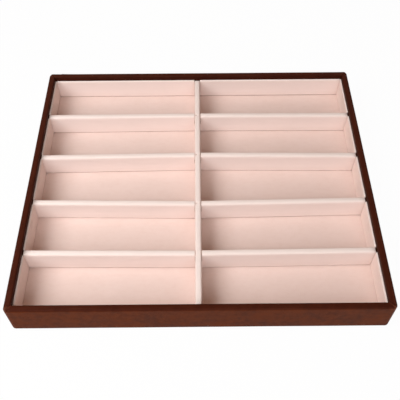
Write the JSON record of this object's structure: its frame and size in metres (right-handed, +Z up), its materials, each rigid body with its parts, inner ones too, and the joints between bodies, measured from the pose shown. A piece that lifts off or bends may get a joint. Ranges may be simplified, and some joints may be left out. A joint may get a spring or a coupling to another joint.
{
  "type": "sunglasses display tray",
  "caption": "Low open display tray wrapped in brown leatherette and lined in pink velvet, with a lift-out egg-crate lattice that parts it into compartments for sunglasses.",
  "frame": {"origin": "middle of the underside, on the surface the tray stands on", "axes": "+X to the right along the length, +Y to the back, +Z up"},
  "size_m": [0.38, 0.333, 0.04],
  "materials": {
    "leatherette": "semi-gloss embossed leatherette",
    "velvet": "short-pile pink velvet",
    "fibreboard": "raw fibreboard",
    "greyboard": "raw greyboard",
    "flock": "dark flocked sheet",
    "steel": "bright drawn wire"
  },
  "bodies": {
    "tray": {"base_board": "fibreboard", "front_wall_board": "fibreboard", "back_wall_board": "fibreboard", "left_wall_board": "fibreboard", "right_wall_board": "fibreboard", "corner_brads": "steel", "base_brads": "steel", "leatherette_wrap": "leatherette", "underside_sheet": "flock", "floor_card": "greyboard", "floor_velvet": "velvet", "left_liner_card_1": "greyboard", "left_liner_card_2": "greyboard", "left_liner_card_3": "greyboard", "left_liner_card_4": "greyboard", "left_liner_card_5": "greyboard", "left_liner_velvet_1": "velvet", "left_liner_velvet_2": "velvet", "left_liner_velvet_3": "velvet", "left_liner_velvet_4": "velvet", "left_liner_velvet_5": "velvet", "right_liner_card_1": "greyboard", "right_liner_card_2": "greyboard", "right_liner_card_3": "greyboard", "right_liner_card_4": "greyboard", "right_liner_card_5": "greyboard", "right_liner_velvet_1": "velvet", "right_liner_velvet_2": "velvet", "right_liner_velvet_3": "velvet", "right_liner_velvet_4": "velvet", "right_liner_velvet_5": "velvet", "front_liner_card_left": "greyboard", "front_liner_card_right": "greyboard", "front_liner_velvet_left": "velvet", "front_liner_velvet_right": "velvet", "back_liner_card_left": "greyboard", "back_liner_card_right": "greyboard", "back_liner_velvet_left": "velvet", "back_liner_velvet_right": "velvet"},
    "cross_dividers": {"cross_divider_board_front": "fibreboard", "cross_divider_velvet_front": "velvet", "cross_divider_board_front_middle": "fibreboard", "cross_divider_velvet_front_middle": "velvet", "cross_divider_board_back_middle": "fibreboard", "cross_divider_velvet_back_middle": "velvet", "cross_divider_board_back": "fibreboard", "cross_divider_velvet_back": "velvet"},
    "centre_divider": {"centre_divider_board": "fibreboard", "centre_divider_velvet": "velvet"}
  },
  "joints": [
    {"name": "cross_dividers_lift", "type": "slide", "parent": "tray", "child": "cross_dividers", "axis": [0, 0, 1], "range_m": [0, 0.045]},
    {"name": "centre_divider_lift", "type": "slide", "parent": "cross_dividers", "child": "centre_divider", "axis": [0, 0, 1], "range_m": [0, 0.035]}
  ]
}
